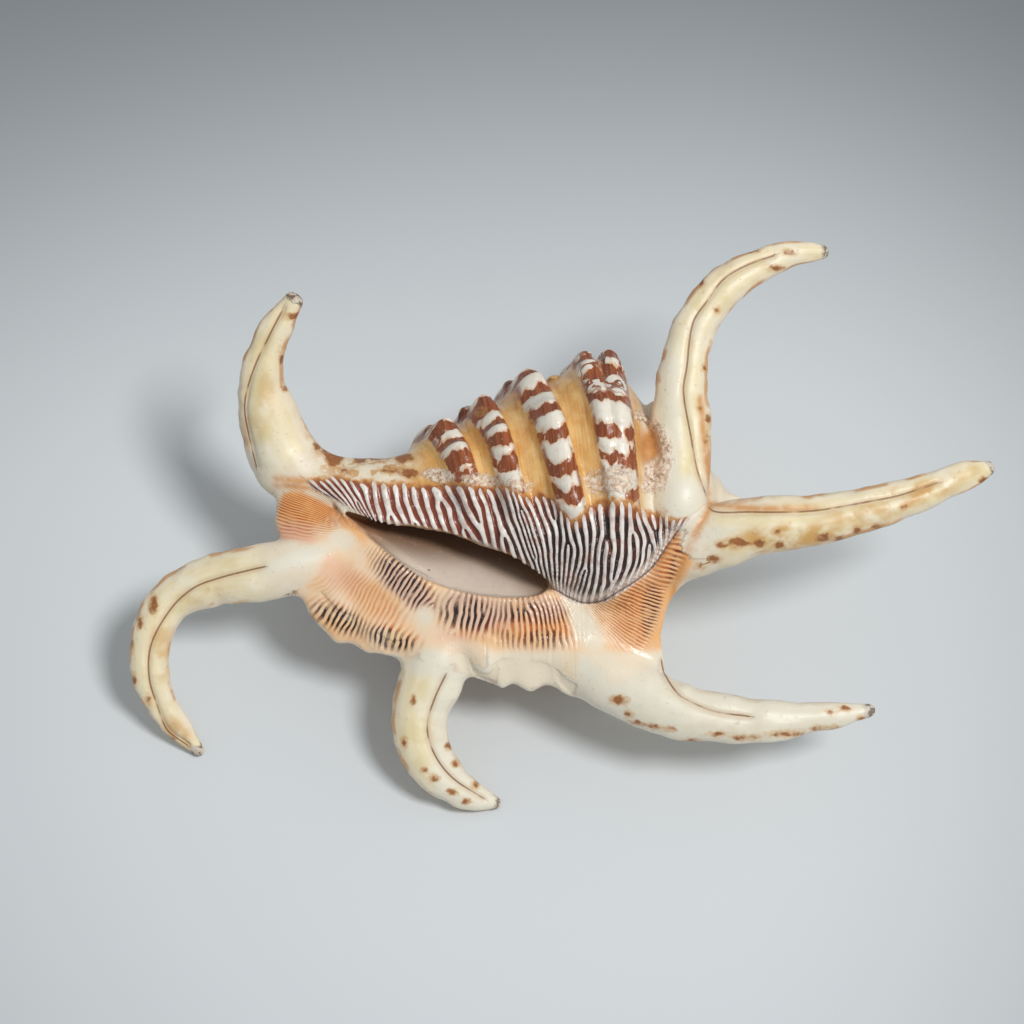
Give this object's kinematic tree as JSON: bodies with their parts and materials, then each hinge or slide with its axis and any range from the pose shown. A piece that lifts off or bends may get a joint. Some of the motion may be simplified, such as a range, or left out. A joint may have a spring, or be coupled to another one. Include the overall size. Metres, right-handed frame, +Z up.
{
  "type": "spider conch shell",
  "caption": "Spider conch shell lying on its back, with a ribbed coiled body, a flared striped lip, a narrow mouth and long hooked fingers.",
  "frame": {"origin": "middle of the shell's box at the height of the table that it lies on", "axes": "+X along the coil axis towards the spire, +Y towards the ribbed side, +Z up, away from the table; the mouth faces up and to -Y"},
  "size_m": [0.246, 0.1384, 0.0912],
  "materials": {
    "shell": "natural shell: glossy glaze with dark brown and white ridges, satin cream fingers, tan ribbed back"
  },
  "bodies": {
    "root": {"shell": "shell"}
  },
  "joints": []
}
